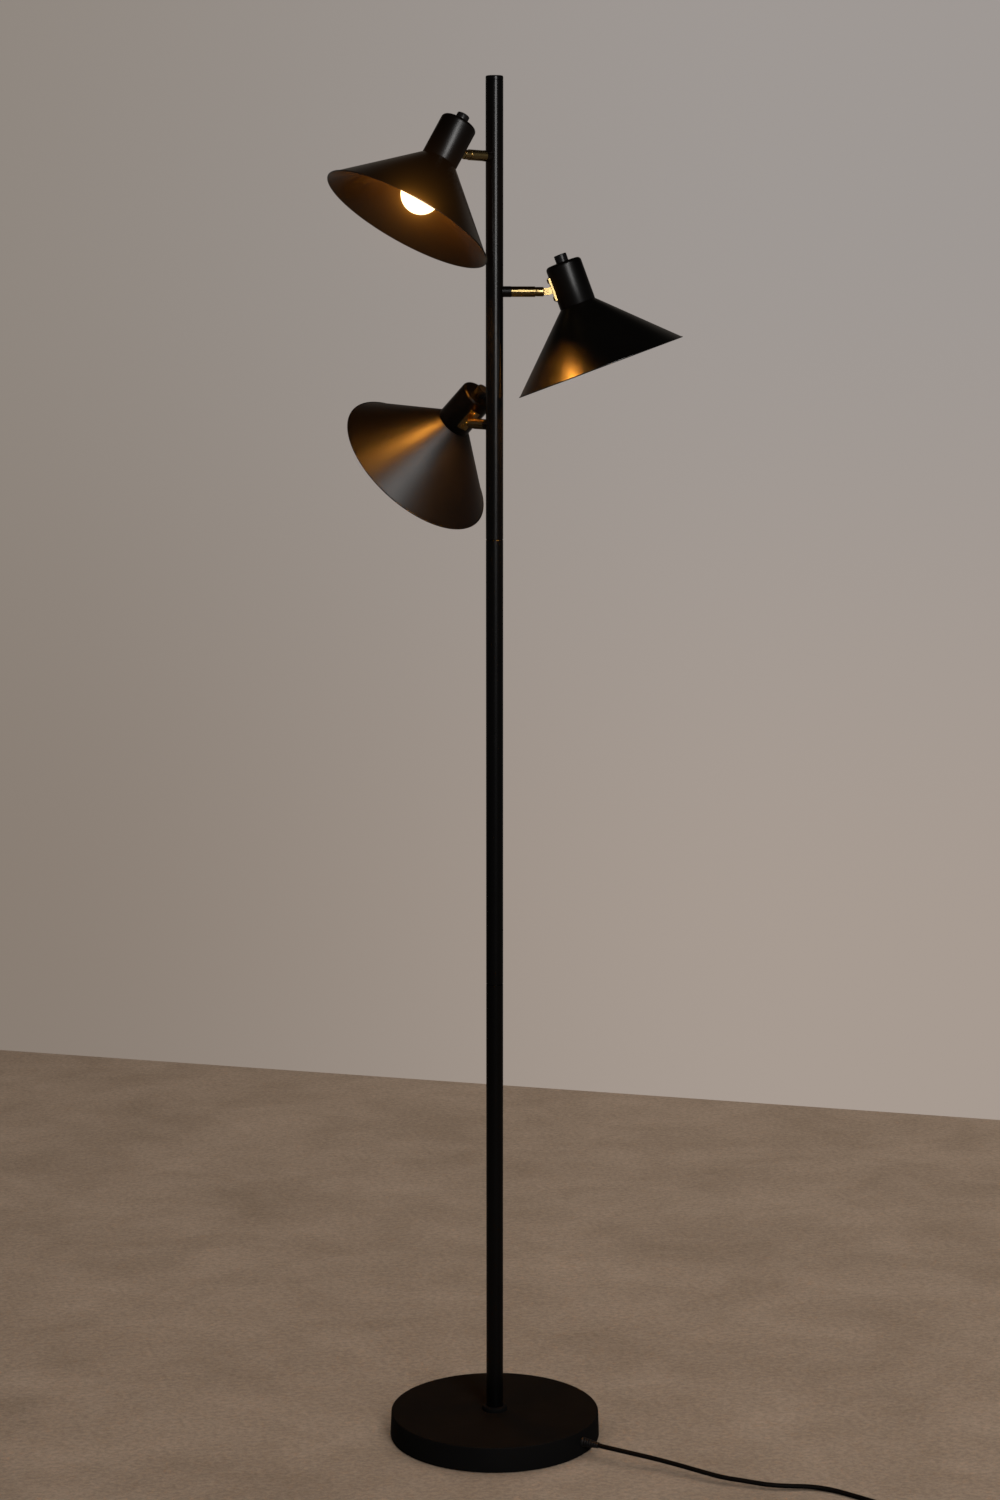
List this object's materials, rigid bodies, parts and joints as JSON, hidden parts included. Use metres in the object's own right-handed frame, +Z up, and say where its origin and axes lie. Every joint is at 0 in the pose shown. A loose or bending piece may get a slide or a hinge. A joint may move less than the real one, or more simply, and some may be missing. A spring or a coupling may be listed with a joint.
{
  "type": "floor lamp",
  "caption": "Floor lamp with a weighted round base, a slim sectional pole and tilting cone-shaded heads on short brass arms, each head with a push switch and a globe bulb.",
  "frame": {"origin": "middle of the floor pad's underside, on the pole's axis", "axes": "+Z up along the pole; seen from the front +X is to the right and -Y comes towards the viewer"},
  "size_m": [0.6964, 0.5731, 1.6],
  "materials": {
    "black_paint": "satin",
    "brass": "polished",
    "cast_iron": "raw",
    "steel": "zinc plated",
    "felt": "matte",
    "black_plastic": "satin",
    "cord": "matte",
    "bulb_glass": "opal",
    "bulb_metal": "bright"
  },
  "bodies": {
    "stand": {"base_cover": "black_paint", "foot_collar": "black_paint", "pole_lower": "black_paint", "pole_middle": "black_paint", "pole_upper": "black_paint", "pole_top_cap": "black_paint", "arm_collars": "black_paint", "base_weight": "cast_iron", "base_nipple": "steel", "base_washer": "steel", "base_nut": "steel", "pole_foot_plug": "steel", "pole_coupling_lower": "steel", "pole_coupling_upper": "steel", "floor_pad": "felt", "cord_strain_relief": "black_plastic", "cord_tie": "black_plastic", "mains_plug": "black_plastic", "mains_cord": "cord", "cord_coil": "cord", "inner_lead": "cord", "arm_upper": "brass", "arm_middle": "brass", "arm_lower": "brass"},
    "swivel_upper": {"arm_swivel_upper": "brass"},
    "head_upper": {"hinge_pin_upper": "brass", "head_bracket_upper": "brass", "bracket_screws_upper": "brass", "socket_cap_upper": "black_paint", "shade_upper": "black_paint", "lampholder_upper": "black_plastic", "shade_ring_upper": "black_plastic", "bulb_glass_upper": "bulb_glass", "bulb_base_upper": "bulb_metal", "switch_body_upper": "black_plastic"},
    "button_upper": {"switch_button_upper": "black_plastic"},
    "swivel_middle": {"arm_swivel_middle": "brass"},
    "head_middle": {"hinge_pin_middle": "brass", "head_bracket_middle": "brass", "bracket_screws_middle": "brass", "socket_cap_middle": "black_paint", "shade_middle": "black_paint", "lampholder_middle": "black_plastic", "shade_ring_middle": "black_plastic", "bulb_glass_middle": "bulb_glass", "bulb_base_middle": "bulb_metal", "switch_body_middle": "black_plastic"},
    "button_middle": {"switch_button_middle": "black_plastic"},
    "swivel_lower": {"arm_swivel_lower": "brass"},
    "head_lower": {"hinge_pin_lower": "brass", "head_bracket_lower": "brass", "bracket_screws_lower": "brass", "socket_cap_lower": "black_paint", "shade_lower": "black_paint", "lampholder_lower": "black_plastic", "shade_ring_lower": "black_plastic", "bulb_glass_lower": "bulb_glass", "bulb_base_lower": "bulb_metal", "switch_body_lower": "black_plastic"},
    "button_lower": {"switch_button_lower": "black_plastic"}
  },
  "joints": [
    {"name": "swivel_upper", "type": "hinge", "parent": "stand", "child": "swivel_upper", "pos_m": [-0.03737, -0.04783, 1.5103], "axis": [0.6157, 0.788, 0], "range_deg": [-89, 61]},
    {"name": "tilt_upper", "type": "hinge", "parent": "swivel_upper", "child": "head_upper", "pos_m": [-0.03737, -0.04783, 1.5103], "axis": [-0.7646, 0.5974, 0.2419], "range_deg": [-13.3, 33.7]},
    {"name": "press_upper", "type": "slide", "parent": "head_upper", "child": "button_upper", "axis": [-0.4597, -0.2425, -0.8543], "range_m": [0, 0.003], "stiffness_N_per_m": 600, "springref_m": -0.001},
    {"name": "swivel_middle", "type": "hinge", "parent": "stand", "child": "swivel_middle", "pos_m": [0.06065, 0.00244, 1.3593], "axis": [-0.9992, -0.0401, 0], "range_deg": [-77.4, 72.6]},
    {"name": "tilt_middle", "type": "hinge", "parent": "swivel_middle", "child": "head_middle", "pos_m": [0.06065, 0.00244, 1.3593], "axis": [0.0401, -0.9983, 0.0419], "range_deg": [-5.3, 41.7]},
    {"name": "press_middle", "type": "slide", "parent": "head_middle", "child": "button_middle", "axis": [0.3482, -0.0253, -0.9371], "range_m": [0, 0.003], "stiffness_N_per_m": 600, "springref_m": -0.001},
    {"name": "swivel_lower", "type": "hinge", "parent": "stand", "child": "swivel_lower", "pos_m": [-0.02971, 0.05293, 1.2083], "axis": [0.4894, -0.8721, 0], "range_deg": [-50.5, 99.5]},
    {"name": "tilt_lower", "type": "hinge", "parent": "swivel_lower", "child": "head_lower", "pos_m": [-0.02971, 0.05293, 1.2083], "axis": [0.7936, 0.4453, -0.4147], "range_deg": [-27.3, 19.7]},
    {"name": "press_lower", "type": "slide", "parent": "head_lower", "child": "button_lower", "axis": [-0.5968, 0.4368, -0.673], "range_m": [0, 0.003], "stiffness_N_per_m": 600, "springref_m": -0.001}
  ]
}
